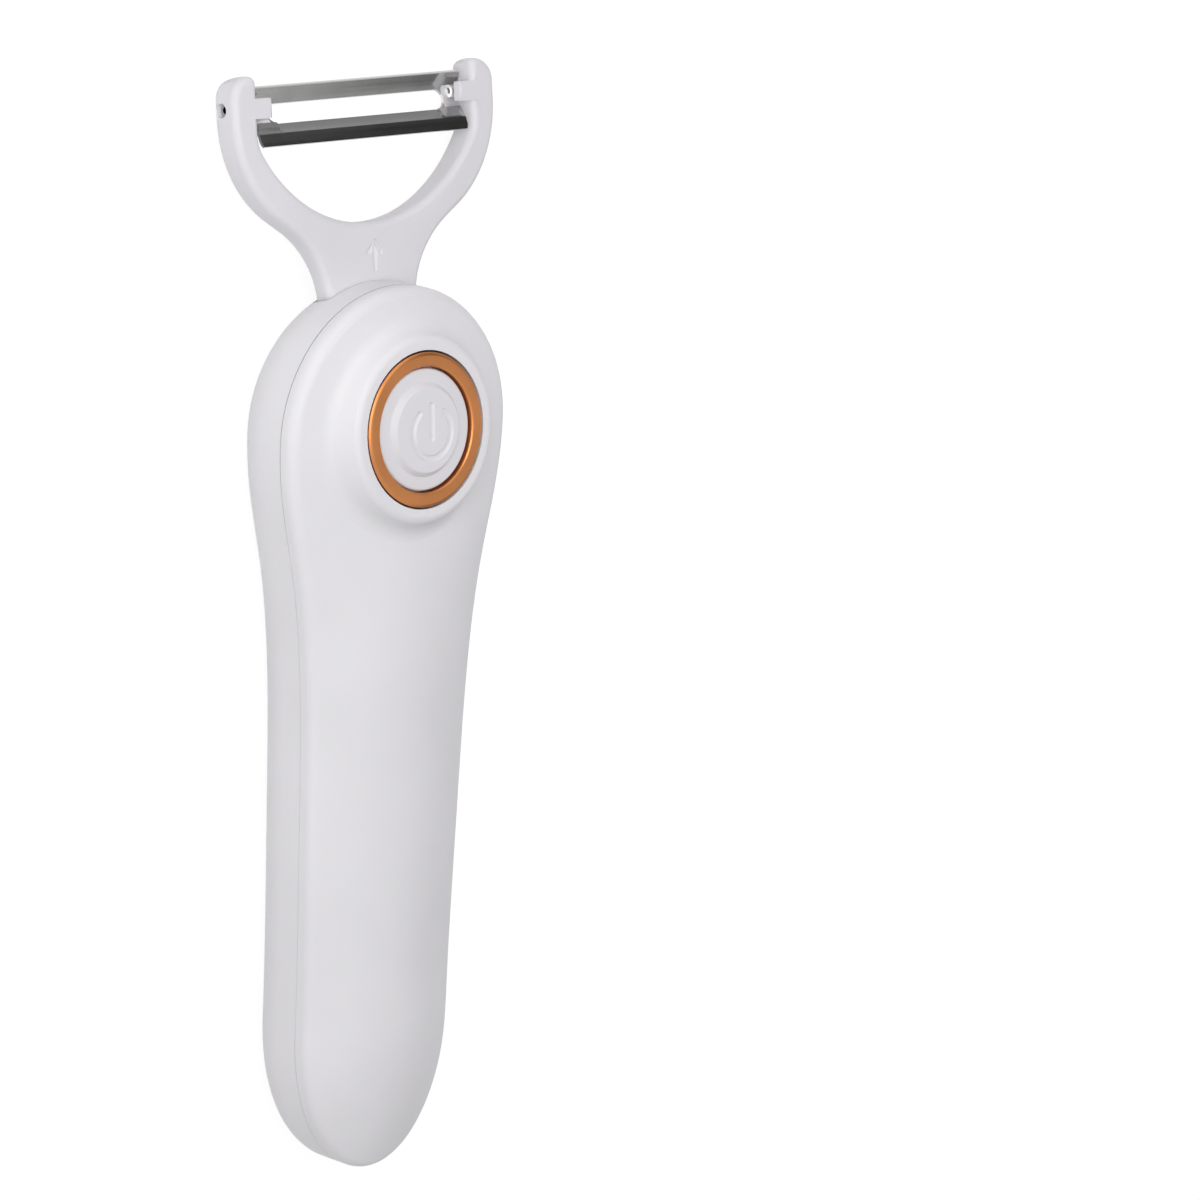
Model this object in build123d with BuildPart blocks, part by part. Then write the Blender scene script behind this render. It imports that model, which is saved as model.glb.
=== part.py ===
from build123d import *
from math import asin, cos, degrees, exp, radians, sin, sqrt
import os

os.makedirs("parts", exist_ok=True)

# A cordless potato peeler: a Y-shaped head with a swivel blade plugs into a
# round-backed handle that holds a vibration motor, a cell and a power button.
# It lies on its back: X is the width, +Y points to the head and +Z is the
# button side. Lengths are millimetres. Places along the handle are given as
# the distance from its tail tip, and heights from the parting plane.

# ---- handle, seen from the front ----
TAIL_HALF_WIDTH = 15.95    # half width where the rounded tail ends
TAIL_LENGTH = 24.9         # length of the elliptical tail
GRIP_HALF_WIDTH = 16.8     # half width at the middle of the grip
GRIP_Y = 62.7
FLARE_HALF_WIDTH = 20.2    # half width where the grip opens into the bulb
FLARE_Y = 102.4
BULB_RADIUS = 23.95        # round end that carries the button
BULB_Y = 124.4

# ---- handle, seen from the side ----
WALL = 1.8
SEAM_WIDTH = 0.2            # of the groove along the joint
SIDE_HEIGHT = 2.6          # straight side of the front cover
GRIP_CROWN = 5.7           # crown of the cover above its side, along the grip
BULB_CROWN = 2.9           # the same at the bulb, outside the rise to the collar
SWELL_LENGTH = 24.0        # how far the bulb's flatter crown reaches down the grip
CROWN_OVERHANG = 1.12      # crown's surface beyond the outline, as a share
CROWN_STEPS = 6            # points of that surface on each side of the middle
TAIL_ROWS = 6              # its rows along the tail, the grip and the bulb
SIDE_ROWS = 20
BULB_ROWS = 6
CROWN_TOLERANCE = 0.02
CREASE_TOLERANCE = 0.5     # how far the cover's crease may wander in height
COVER_EDGE_RADIUS = 2.0
BACK_DEPTH = 13.8
BACK_EDGE_RADIUS = 9.5
LIP_THICKNESS = 0.8        # tongue of the front cover inside the casing's wall
LIP_DEPTH = 1.6
LIP_CLEARANCE = 0.1
GASKET_SIZE = 0.6

# ---- button group, on its own tilted plane ----
BUTTON_FORWARD = 1.5       # button's middle, from the bulb's towards the head
BUTTON_HEIGHT = 8.4        # centre of the ring's plane above the parting plane
BUTTON_TILT = 4.6          # degrees, facing the head a little
COLLAR_RADIUS = 15.0
COLLAR_DRAFT = 25.0        # degrees that the collar's flank leans in
COLLAR_EDGE_RADIUS = 1.4
COLLAR_FOOT_RADIUS = 3.0   # hollow where the flank meets the crown
RING_OUTER_RADIUS = 12.9
RING_INNER_RADIUS = 10.25
RING_HEIGHT = 2.3
RING_PROUD = 0.25
BUTTON_GAP = 0.3           # round the cap and its flange
BUTTON_DISC_RADIUS = 7.7
BUTTON_DISC_HEIGHT = 0.9
BUTTON_DISC_DRAFT = 40      # degrees, of the disc's flank
BUTTON_SUNK = 0.55         # cap's rim below the ring's top
BUTTON_FLANGE_OVERLAP = 0.9
BUTTON_FLANGE_THICKNESS = 1.0
BUTTON_TRAVEL = 0.5
BUTTON_STEM_RADIUS = 2.0
SEAL_THICKNESS = 0.8
BOARD_DEPTH = 7.9          # top of the circuit board below the ring's plane
BOARD_RADIUS = 15.0
BOARD_THICKNESS = 1.0
BOARD_NOTCH_LENGTH = 6.0
BOARD_NOTCH_WIDTH = 2.0
BOARD_SCREW_X = 12.3
BOARD_SCREW_GRIP = 3.0
CHIP_LENGTH = 4.9          # controller chip, across the board
CHIP_WIDTH = 3.9
CHIP_HEIGHT = 0.8
CHIP_Y = -11.0
COIL_LENGTH = 3.2          # the two small parts beside it
COIL_WIDTH = 1.6
COIL_X = 5.5
RING_EDGE_RADIUS = 0.6
BUTTON_EDGE_RADIUS = 0.4
BUTTON_WALL = 1.1
PLUNGER_STAND = 0.8         # plunger above the switch body
SWITCH_SIDE = 6.0
SWITCH_HEIGHT = 2.6
SWITCH_CORNER = 0.5
PLUNGER_EDGE = 0.3
PLUNGER_RADIUS = 1.7
SLIP = 0.05                # running clearance, on the radius
SCREW_RADIUS = 1.0
SCREW_HEAD_RADIUS = 1.9
SCREW_HEAD_HEIGHT = 1.2
SCREW_CROSS_LENGTH = 2.4
SCREW_CROSS_WIDTH = 0.45
SCREW_END_GAP = 0.5        # left under a screw's end in its hole
BOSS_RADIUS = 2.6
BOSS_SCREW_GRIP = 3.5

# ---- cutting head ----
LEAN = 7.45                # degrees the head leans back from the handle
NECK_SUNK = 14.05          # the neck's step to the plug, inside the handle's end
STEP_DEPTH = 5.15          # head's middle plane there, behind the parting plane
HEAD_REACH = 48.4          # from the step to the tips of the arms
HEAD_HALF_WIDTH = 28.8
ARM_WIDTH = 5.1
ARM_THICKNESS = 5.2
ARM_EDGE_RADIUS = 1.2
NECK_HALF_WIDTH = 9.7
NECK_THICKNESS = 3.9
TAPER_START = 14.0         # the head thickens from here
TAPER_END = 28.0           # to here, measured from the step
ARM_STRAIGHT = 6.9         # straight outside of the arm, from the tip down
SHOULDER_RADIUS = 16.3     # hollow curve from the neck to the arm
SHOULDER_ANGLE = 56.4
SLOPE_LENGTH = 3.5         # straight flank between the shoulder and the elbow
CROTCH_DEPTH = 25.0        # from the tips down to the bottom of the opening
CROTCH_BULGE = 3.3         # opening's radius over half its width
CROTCH_CORNER_RADIUS = 6.0 # where the opening's curve meets the arms
TIP_INNER_RADIUS = 1.2
TIP_BACK_RADIUS = 3.2       # seen from the side, at the back of an arm's tip
TIP_FLAT = 0.2             # left between the two rounds of an arm's tip
NUB_REACH = 3.0            # stop nub inside each arm
NUB_WIDTH = 3.2
NUB_THICKNESS = 1.7
NUB_RADIUS = 0.5
NUB_ROOT = 0.5             # nub's root inside the arm's rounded edge
PIVOT_FROM_TIP = 5.2
PIVOT_FROM_FRONT = 3.3     # below the front face of the arm
PLUG_LENGTH = 14.1
PLUG_HALF_WIDTH = 9.3
PLUG_THICKNESS = 3.0
PLUG_CORNER_RADIUS = 1.0
PLUG_SLOT_WIDTH = 1.16
PLUG_SLOT_LENGTH = 12.4
TONGUE_WIDTH = 5.9
TONGUE_STEP = 0.5
TONGUE_ROOT = 2.6
TONGUE_RIDGE = 1.2
SOCKET_WALL = 1.2
SOCKET_CORNER_RADIUS = 1.0
SOCKET_CLEARANCE = 0.2
SOCKET_NECK_LENGTH = 1.5
SOCKET_EAR_LENGTH = 6.0
SOCKET_EAR_THICKNESS = 1.5

# ---- swivel blade ----
BLADE_SHEET = 0.5
BLADE_END_GAP = 0.85       # to the inside of each arm
BLADE_SWING = 14.0         # degrees the blade hangs turned forward
BLADE_SLOT_MARGIN = 3.4    # sheet left at each end of the slot
BLADE_SLOT_WIDTH = 3.1
BLADE_SLOT_TOP = 0.4       # upper edge of the slot above the pivot
GUARD_WIDTH = 2.6          # guard flange above the slot
GUARD_RISE = 1.9
BEVEL_WIDTH = 1.5
BEVEL_MARGIN = 1.5         # bevel shorter than the slot at each end
BAR_WIDTH = 2.0            # each of the two facets below the slot
BAR_RISE = 0.85
BAR_KICK = 0.15
BAR_CORNER = 1.6
GUARD_CORNER = 1.0
BLADE_BEND = 0.7
BLADE_EDGE = 0.08          # thickness left at the cutting edge
JOURNAL_RADIUS = 1.1
JOURNAL_RECESS = 0.9
JOURNAL_ROOT = 1.8         # length rolled from the sheet itself
BORE_CLEARANCE = 0.06

# ---- drive and supply ----
MOTOR_WIDTH = 12.0
MOTOR_HEIGHT = 10.0
MOTOR_LENGTH = 15.0
MOTOR_HEIGHT_AXIS = -3.0
MOTOR_EDGE = 0.4
END_CAP_LENGTH = 2.4
END_CAP_EDGE = 0.6
TERMINAL_LENGTH = 2.0
TERMINAL_THICKNESS = 0.3
TERMINAL_WIDTH = 2.0
WIRE_SPACE = 3.1           # between the cell's front tab and the terminals
MOTOR_NOSE_RADIUS = 2.0
MOTOR_NOSE_LENGTH = 0.8
SHAFT_RADIUS = 0.5
SHAFT_LENGTH = 8.0
SHAFT_INSIDE = 4.0
WEIGHT_RADIUS = 4.8
WEIGHT_HUB_RADIUS = 1.6
WEIGHT_LENGTH = 5.0
WEIGHT_GAP = 1.2
CLAMP_THICKNESS = 1.0
CLAMP_LENGTH = 6.0
CLAMP_FOOT = 5.0
CELL_RADIUS = 7.0
CELL_LENGTH = 50.0
CELL_Y = 21.5
CELL_HEIGHT_AXIS = -1.2
CELL_EDGE = 0.4
CELL_FIT = 0.15
CELL_NUB_RADIUS = 2.6
CELL_NUB_LENGTH = 0.8
TAB_WIDTH = 5.0
TAB_THICKNESS = 0.2
TAB_REACH = 9.0
PAD_WIDTH = 7.0
PAD_MARGIN = 7.0           # cell left bare at each end of the pad
PAD_THICKNESS = 0.35
RIB_THICKNESS = 1.4
RIB_MARGIN = 6.0           # outer ribs from the cell's ends
MOTOR_RIB_MARGIN = 1.5     # ribs from the motor's ends
PORT_WIDTH = 8.9
PORT_HEIGHT = 3.2
PORT_LENGTH = 7.4
PORT_SHEET = 0.3
PORT_DEPTH = -5.0          # middle of the port, from the parting plane
PORT_INSET = 2.2
PORT_OUTSIDE = 1.0         # start of the port's cuts, outside the tail
PORT_GAP = 0.12
PORT_RECESS = 1.0
PORT_TONGUE_WIDTH = 6.7
PORT_TONGUE_HEIGHT = 0.7
PORT_TONGUE_LENGTH = 4.4
PORT_BASE_LENGTH = 1.6
CHARGE_BOARD_WIDTH = 13.0
CHARGE_BOARD_LENGTH = 12.0
CHARGE_BOARD_Y = 6.6
CHARGE_BOARD_THICKNESS = 1.0
CHARGER_LENGTH = 5.0       # charging chip on the board
CHARGER_WIDTH = 4.0
CHARGER_HEIGHT = 1.2
CHARGER_MARGIN = 1.0       # from the board's front edge

# ---- places that follow from the sizes above ----
HANDLE_LENGTH = BULB_Y + BULB_RADIUS
BUTTON_Y = BULB_Y + BUTTON_FORWARD
STEP_Y = HANDLE_LENGTH - NECK_SUNK
ARM_HALF = ARM_THICKNESS / 2
TIP_REACH = HEAD_REACH - ARM_EDGE_RADIUS
TIP_HEIGHT = ARM_HALF - ARM_EDGE_RADIUS
TIP_Y = STEP_Y + TIP_REACH * cos(radians(LEAN)) + TIP_HEIGHT * sin(radians(LEAN)) + ARM_EDGE_RADIUS
TIP_BACK_REACH = HEAD_REACH - TIP_BACK_RADIUS
TIP_BACK_HEIGHT = TIP_BACK_RADIUS - ARM_HALF
TIP_DEPTH = STEP_DEPTH + TIP_BACK_REACH * sin(radians(LEAN)) - TIP_BACK_HEIGHT * cos(radians(LEAN)) + TIP_BACK_RADIUS
TAIL_Y = -TIP_Y / 2
PARTING_Z = max(TIP_DEPTH, BACK_DEPTH)
PIVOT_REACH = HEAD_REACH - PIVOT_FROM_TIP
PIVOT_HEIGHT = ARM_HALF - PIVOT_FROM_FRONT
ARM_INSIDE = HEAD_HALF_WIDTH - ARM_WIDTH
CROTCH_RADIUS = ARM_INSIDE + CROTCH_BULGE
TIP_RADIUS = ARM_WIDTH - TIP_INNER_RADIUS - TIP_FLAT
SHOULDER = radians(SHOULDER_ANGLE)
FLANK_WIDTH = HEAD_HALF_WIDTH - NECK_HALF_WIDTH - SLOPE_LENGTH * sin(SHOULDER)
ELBOW_RADIUS = FLANK_WIDTH / (1 - cos(SHOULDER)) - SHOULDER_RADIUS
FLANK_REACH = (SHOULDER_RADIUS + ELBOW_RADIUS) * sin(SHOULDER) + SLOPE_LENGTH * cos(SHOULDER)
NECK_STRAIGHT = HEAD_REACH - ARM_STRAIGHT - FLANK_REACH
CELL_FRONT = CELL_Y + CELL_LENGTH
TERMINALS_Y = CELL_FRONT + CELL_NUB_LENGTH + TAB_THICKNESS + WIRE_SPACE
MOTOR_Y = TERMINALS_Y + TERMINAL_LENGTH + END_CAP_LENGTH
BACK_INSIDE = WALL - BACK_DEPTH

PARTING = Plane(origin=(0, TAIL_Y, PARTING_Z), x_dir=(1, 0, 0), z_dir=(0, 0, 1))
BUTTON_PLANE = Plane(
    origin=(0, TAIL_Y + BUTTON_Y, PARTING_Z + BUTTON_HEIGHT),
    x_dir=(1, 0, 0),
    z_dir=(0, sin(radians(BUTTON_TILT)), cos(radians(BUTTON_TILT))),
)
HEAD_PLANE = Plane(
    origin=(0, TAIL_Y + STEP_Y, PARTING_Z - STEP_DEPTH),
    x_dir=(1, 0, 0),
    z_dir=(0, sin(radians(LEAN)), cos(radians(LEAN))),
)


def across(y, height=0.0):
    """Plane square to the handle at y, its normal towards the head."""
    return Plane(origin=(0, TAIL_Y + y, PARTING_Z + height), x_dir=(-1, 0, 0), z_dir=(0, 1, 0))


# ---- shapes shared by the casing's pieces ----
def side_points(inset):
    """Points on the handle's side, from the rounded tail to the bulb."""
    return [
        (TAIL_HALF_WIDTH - inset, TAIL_LENGTH),
        (GRIP_HALF_WIDTH - inset, GRIP_Y),
        (FLARE_HALF_WIDTH - inset, FLARE_Y),
        (BULB_RADIUS - inset, BULB_Y),
    ]


def outline(inset=0.0):
    """The handle's outline seen from the front, moved inwards by inset."""
    with BuildSketch() as shape:
        with BuildLine():
            EllipticalCenterArc(
                (0, TAIL_LENGTH), TAIL_HALF_WIDTH - inset, TAIL_LENGTH - inset, 270, arc_size=90
            )
            Spline(*side_points(inset), tangents=((0, 1), (0, 1)))
            CenterArc((0, BULB_Y), BULB_RADIUS - inset, 0, 90)
            mirror(about=Plane.YZ)
        make_face()
    return shape.sketch


def outline_band(outer_inset, inner_inset):
    """The strip between two insets of the outline."""
    return outline(outer_inset) - outline(inner_inset)


def crown_row(y, half_width, end_share):
    """Points across the crowned front at y, a little wider than the outline."""
    swell = exp(-(max(0.0, BULB_Y - y) / SWELL_LENGTH) ** 2)
    crown = GRIP_CROWN + (BULB_CROWN - GRIP_CROWN) * swell
    row = []
    for step in range(-CROWN_STEPS, CROWN_STEPS + 1):
        share = step / CROWN_STEPS * CROWN_OVERHANG
        height = SIDE_HEIGHT + crown * (1 - share ** 2 - end_share ** 2)
        row.append(Vector(share * half_width, y, height))
    return row


def crown_surface():
    """Front surface of the cover: a crown that rises to the collar at the bulb."""
    side = Spline(*side_points(0), tangents=((0, 1), (0, 1)), mode=Mode.PRIVATE)
    rows = []
    for step in range(TAIL_ROWS, 0, -1):
        share = step / TAIL_ROWS * CROWN_OVERHANG
        rows.append(crown_row(TAIL_LENGTH * (1 - share), TAIL_HALF_WIDTH, share))
    for step in range(SIDE_ROWS + 1):
        point = side @ (step / SIDE_ROWS)
        rows.append(crown_row(point.Y, point.X, 0.0))
    for step in range(1, BULB_ROWS + 1):
        share = step / BULB_ROWS * CROWN_OVERHANG
        rows.append(crown_row(BULB_Y + share * BULB_RADIUS, BULB_RADIUS, share))
    return Face.make_surface_from_array_of_points(rows, tol=CROWN_TOLERANCE, max_deg=5)


CROWN = crown_surface()
COVER_TOP = BUTTON_HEIGHT + COLLAR_RADIUS


def under_crown(drop):
    """Everything below the crowned front lowered by drop, as a solid."""
    surface = PARTING.location * Pos(0, 0, -drop) * CROWN
    return extrude(surface, amount=2 * COVER_TOP, dir=(0, 0, -1), mode=Mode.PRIVATE)


def screw(plane, points, length):
    """Pan-head screws on a plane, heads up and shanks down to length."""
    with BuildPart() as screws:
        with BuildSketch(plane):
            with Locations(*points):
                Circle(SCREW_RADIUS)
        extrude(amount=-length)
        with BuildSketch(plane):
            with Locations(*points):
                Circle(SCREW_HEAD_RADIUS)
        extrude(amount=SCREW_HEAD_HEIGHT)
        heads = screws.edges().filter_by(GeomType.CIRCLE)
        top = heads.filter_by(lambda edge: plane.to_local_coords(edge.center()).Z > SCREW_HEAD_HEIGHT / 2)
        fillet(top, SCREW_HEAD_HEIGHT / 2)
        with BuildSketch(plane.offset(SCREW_HEAD_HEIGHT)):
            with Locations(*points):
                Rectangle(SCREW_CROSS_LENGTH, SCREW_CROSS_WIDTH)
                Rectangle(SCREW_CROSS_WIDTH, SCREW_CROSS_LENGTH)
        extrude(amount=-SCREW_HEAD_HEIGHT / 2, mode=Mode.SUBTRACT)
    return screws.part


# ---- front cover ----
BUTTON_RADIUS = RING_INNER_RADIUS - BUTTON_GAP
FLANGE_RADIUS = RING_INNER_RADIUS + BUTTON_FLANGE_OVERLAP
WELL_RADIUS = FLANGE_RADIUS + BUTTON_GAP
RING_SEAT = RING_HEIGHT - RING_PROUD
FLANGE_DEPTH = RING_SEAT + BUTTON_FLANGE_THICKNESS
SEAL_DEPTH = FLANGE_DEPTH + BUTTON_TRAVEL + BUTTON_GAP
WELL_DEPTH = SEAL_DEPTH + SEAL_THICKNESS
BOARD_SCREWS = [(-BOARD_SCREW_X, 0), (BOARD_SCREW_X, 0)]

with BuildPart() as cover_hollow:
    with BuildSketch(PARTING):
        add(outline(WALL))
    extrude(amount=COVER_TOP)
    add(under_crown(WALL), mode=Mode.INTERSECT)

with BuildPart() as collar:
    with BuildSketch(BUTTON_PLANE):
        Circle(COLLAR_RADIUS)
    extrude(amount=SIDE_HEIGHT - BUTTON_HEIGHT, taper=-COLLAR_DRAFT)
    fillet(collar.edges().filter_by(GeomType.CIRCLE).sort_by(Axis.Z)[-1], COLLAR_EDGE_RADIUS)

with BuildPart() as front_cover:
    with BuildSketch(PARTING):
        add(outline())
    extrude(amount=COVER_TOP)
    add(under_crown(0), mode=Mode.INTERSECT)
    crease = front_cover.edges().filter_by(
        lambda edge: abs(edge.center().Z - PARTING_Z - SIDE_HEIGHT) < CREASE_TOLERANCE
        and abs(edge.bounding_box().size.Z) < CREASE_TOLERANCE
    )
    fillet(crease, COVER_EDGE_RADIUS)
    # the raised collar round the button, with a hollow foot
    add(collar.part)
    foot = front_cover.edges(Select.LAST).filter_by(GeomType.CIRCLE, reverse=True)
    fillet(foot, COLLAR_FOOT_RADIUS)
    add(cover_hollow.part, mode=Mode.SUBTRACT)
    with BuildSketch(BUTTON_PLANE.offset(-WELL_DEPTH)):
        Circle(COLLAR_RADIUS)
    extrude(amount=-COVER_TOP, mode=Mode.SUBTRACT)
    # bosses that the circuit board screws to
    with BuildSketch(BUTTON_PLANE.offset(-BOARD_DEPTH)):
        with Locations(*BOARD_SCREWS):
            Circle(SCREW_HEAD_RADIUS)
    extrude(amount=BOARD_DEPTH - WELL_DEPTH)
    with BuildSketch(BUTTON_PLANE.offset(-BOARD_DEPTH)):
        with Locations(*BOARD_SCREWS):
            Circle(SCREW_RADIUS)
    extrude(amount=BOARD_SCREW_GRIP, mode=Mode.SUBTRACT)
    # the ring's seat and the button's well
    with BuildSketch(BUTTON_PLANE):
        Circle(RING_OUTER_RADIUS + SLIP)
    extrude(amount=-RING_SEAT, mode=Mode.SUBTRACT)
    with BuildSketch(BUTTON_PLANE.offset(-RING_SEAT)):
        Circle(WELL_RADIUS)
    extrude(amount=RING_SEAT - WELL_DEPTH, mode=Mode.SUBTRACT)
    # tongue that locates the cover in the casing
    with BuildSketch(PARTING):
        add(outline_band(WALL - LIP_THICKNESS, WALL))
    extrude(amount=-LIP_DEPTH)
front_cover.part.label = "front_cover"
export_step(front_cover.part, "parts/front_cover.step")


# ---- back casing ----
def along_head(reach, height=0.0):
    """Plane square to the head at a distance from its step, facing the tips."""
    return Plane(
        origin=HEAD_PLANE.from_local_coords(Vector(0, reach, height)),
        x_dir=(-1, 0, 0),
        z_dir=HEAD_PLANE.y_dir,
    )


MOUTH_REACH = (HANDLE_LENGTH - STEP_Y) / cos(radians(LEAN))
MOUTH_RISE = max(0.0, MOUTH_REACH - NECK_STRAIGHT)
NECK_FLARE = SHOULDER_RADIUS - sqrt(SHOULDER_RADIUS ** 2 - MOUTH_RISE ** 2)
MOUTH_HALF_WIDTH = NECK_HALF_WIDTH + NECK_FLARE + SOCKET_CLEARANCE
MOUTH_THICKNESS = NECK_THICKNESS + 2 * SOCKET_CLEARANCE
CELL_RIBS = [CELL_Y + RIB_MARGIN, CELL_Y + CELL_LENGTH / 2, CELL_FRONT - RIB_MARGIN]
MOTOR_RIBS = [MOTOR_Y + MOTOR_RIB_MARGIN, MOTOR_Y + MOTOR_LENGTH - MOTOR_RIB_MARGIN]
CLAMP_Y = MOTOR_Y + MOTOR_LENGTH / 2
CLAMP_SCREW_X = MOTOR_WIDTH / 2 + CLAMP_THICKNESS + CLAMP_FOOT / 2
CLAMP_SCREWS = [(-CLAMP_SCREW_X, CLAMP_Y), (CLAMP_SCREW_X, CLAMP_Y)]
SOCKET_HALF_WIDTH = PLUG_HALF_WIDTH + SOCKET_CLEARANCE + SOCKET_WALL
SOCKET_EAR_Y = STEP_Y - PLUG_LENGTH / 2
SOCKET_EAR_HEIGHT = -STEP_DEPTH + PLUG_LENGTH / 2 * sin(radians(LEAN)) - SOCKET_EAR_THICKNESS / 2
SOCKET_SCREW_X = SOCKET_HALF_WIDTH + SOCKET_EAR_LENGTH / 2
SOCKET_SCREWS = [(-SOCKET_SCREW_X, SOCKET_EAR_Y), (SOCKET_SCREW_X, SOCKET_EAR_Y)]
PORT_BOTTOM = PORT_DEPTH - PORT_HEIGHT / 2
CHARGE_BOARD_BOTTOM = PORT_BOTTOM - CHARGE_BOARD_THICKNESS

with BuildPart() as casing_hollow:
    with BuildSketch(PARTING):
        add(outline(WALL))
    extrude(amount=BACK_INSIDE)
    fillet(casing_hollow.faces().sort_by(Axis.Z)[0].edges(), BACK_EDGE_RADIUS - WALL)

with BuildSketch() as motor_profile:
    Circle(MOTOR_WIDTH / 2)
    Rectangle(MOTOR_WIDTH, MOTOR_HEIGHT, mode=Mode.INTERSECT)

with BuildPart() as back_casing:
    with BuildSketch(PARTING):
        add(outline())
    extrude(amount=-BACK_DEPTH)
    fillet(back_casing.faces().sort_by(Axis.Z)[0].edges(), BACK_EDGE_RADIUS)
    # the shadow line of the joint
    chamfer(back_casing.faces().sort_by(Axis.Z)[-1].edges(), SEAM_WIDTH)
    add(casing_hollow.part, mode=Mode.SUBTRACT)
    # rebate for the cover's tongue and the gasket under it
    with BuildSketch(PARTING):
        add(outline_band(WALL - LIP_THICKNESS - LIP_CLEARANCE, WALL + LIP_CLEARANCE))
    extrude(amount=-LIP_DEPTH - GASKET_SIZE, mode=Mode.SUBTRACT)
    # cradle ribs under the cell and the motor
    for rib_y in CELL_RIBS:
        with BuildSketch(across(rib_y - RIB_THICKNESS / 2)):
            with Locations((0, (BACK_INSIDE + CELL_HEIGHT_AXIS) / 2)):
                Rectangle(2 * CELL_RADIUS + 2 * WALL, CELL_HEIGHT_AXIS - BACK_INSIDE)
            with Locations((0, CELL_HEIGHT_AXIS)):
                Circle(CELL_RADIUS + CELL_FIT, mode=Mode.SUBTRACT)
        extrude(amount=RIB_THICKNESS)
    for rib_y in MOTOR_RIBS:
        with BuildSketch(across(rib_y - RIB_THICKNESS / 2)):
            with Locations((0, (BACK_INSIDE + MOTOR_HEIGHT_AXIS) / 2)):
                Rectangle(MOTOR_WIDTH + 2 * WALL, MOTOR_HEIGHT_AXIS - BACK_INSIDE)
            with Locations((0, MOTOR_HEIGHT_AXIS)):
                add(motor_profile.sketch, mode=Mode.SUBTRACT)
        extrude(amount=RIB_THICKNESS)
    # screw bosses for the motor clamp and the head's socket
    for points, top in ((CLAMP_SCREWS, MOTOR_HEIGHT_AXIS), (SOCKET_SCREWS, SOCKET_EAR_HEIGHT)):
        with BuildSketch(PARTING.offset(BACK_INSIDE)):
            with Locations(*points):
                Circle(BOSS_RADIUS)
        extrude(amount=top - BACK_INSIDE)
        with BuildSketch(PARTING.offset(top)):
            with Locations(*points):
                Circle(SCREW_RADIUS)
        extrude(amount=-BOSS_SCREW_GRIP, mode=Mode.SUBTRACT)
    # rails that carry the charging board
    with BuildSketch(PARTING.offset(BACK_INSIDE)):
        with Locations((0, CHARGE_BOARD_Y + CHARGE_BOARD_LENGTH / 2)):
            with GridLocations(CHARGE_BOARD_WIDTH - 2 * RIB_THICKNESS, 0, 2, 1):
                Rectangle(RIB_THICKNESS, CHARGE_BOARD_LENGTH - 2 * RIB_THICKNESS)
    extrude(amount=CHARGE_BOARD_BOTTOM - BACK_INSIDE)
    # mouth for the neck, in the round end
    with BuildSketch(along_head(SOCKET_NECK_LENGTH)):
        RectangleRounded(2 * MOUTH_HALF_WIDTH, MOUTH_THICKNESS, ARM_EDGE_RADIUS)
    extrude(amount=BULB_RADIUS, mode=Mode.SUBTRACT)
    # charging port in the tail: the plug's opening and a shallow recess round it
    with BuildSketch(across(-PORT_OUTSIDE, PORT_DEPTH)):
        RectangleRounded(PORT_WIDTH + 2 * PORT_GAP, PORT_HEIGHT + 2 * PORT_GAP, PORT_HEIGHT / 2)
    extrude(amount=PORT_LENGTH, mode=Mode.SUBTRACT)
    with BuildSketch(across(-PORT_OUTSIDE, PORT_DEPTH)):
        RectangleRounded(PORT_WIDTH + 2 * PORT_RECESS, PORT_HEIGHT + 2 * PORT_RECESS, PORT_HEIGHT / 2)
    extrude(amount=PORT_OUTSIDE + PORT_INSET, mode=Mode.SUBTRACT)
back_casing.part.label = "back_casing"
export_step(back_casing.part, "parts/back_casing.step")

with BuildPart() as case_gasket:
    with BuildSketch(PARTING.offset(-LIP_DEPTH)):
        add(outline_band(WALL - LIP_THICKNESS, WALL))
    extrude(amount=-GASKET_SIZE)
case_gasket.part.label = "case_gasket"
export_step(case_gasket.part, "parts/case_gasket.step")


# ---- power button group ----
with BuildPart() as accent_ring:
    with BuildSketch(BUTTON_PLANE.offset(-RING_SEAT)):
        Circle(RING_OUTER_RADIUS)
        Circle(RING_INNER_RADIUS, mode=Mode.SUBTRACT)
    extrude(amount=RING_HEIGHT)
    fillet(accent_ring.faces().sort_by(Axis.Z)[-1].edges(), RING_EDGE_RADIUS)
accent_ring.part.label = "accent_ring"
export_step(accent_ring.part, "parts/accent_ring.step")

CAP_TOP = RING_PROUD - BUTTON_SUNK
PLUNGER_TOP = SWITCH_HEIGHT + PLUNGER_STAND - BOARD_DEPTH
STEM_BOTTOM = PLUNGER_TOP + SLIP

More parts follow.
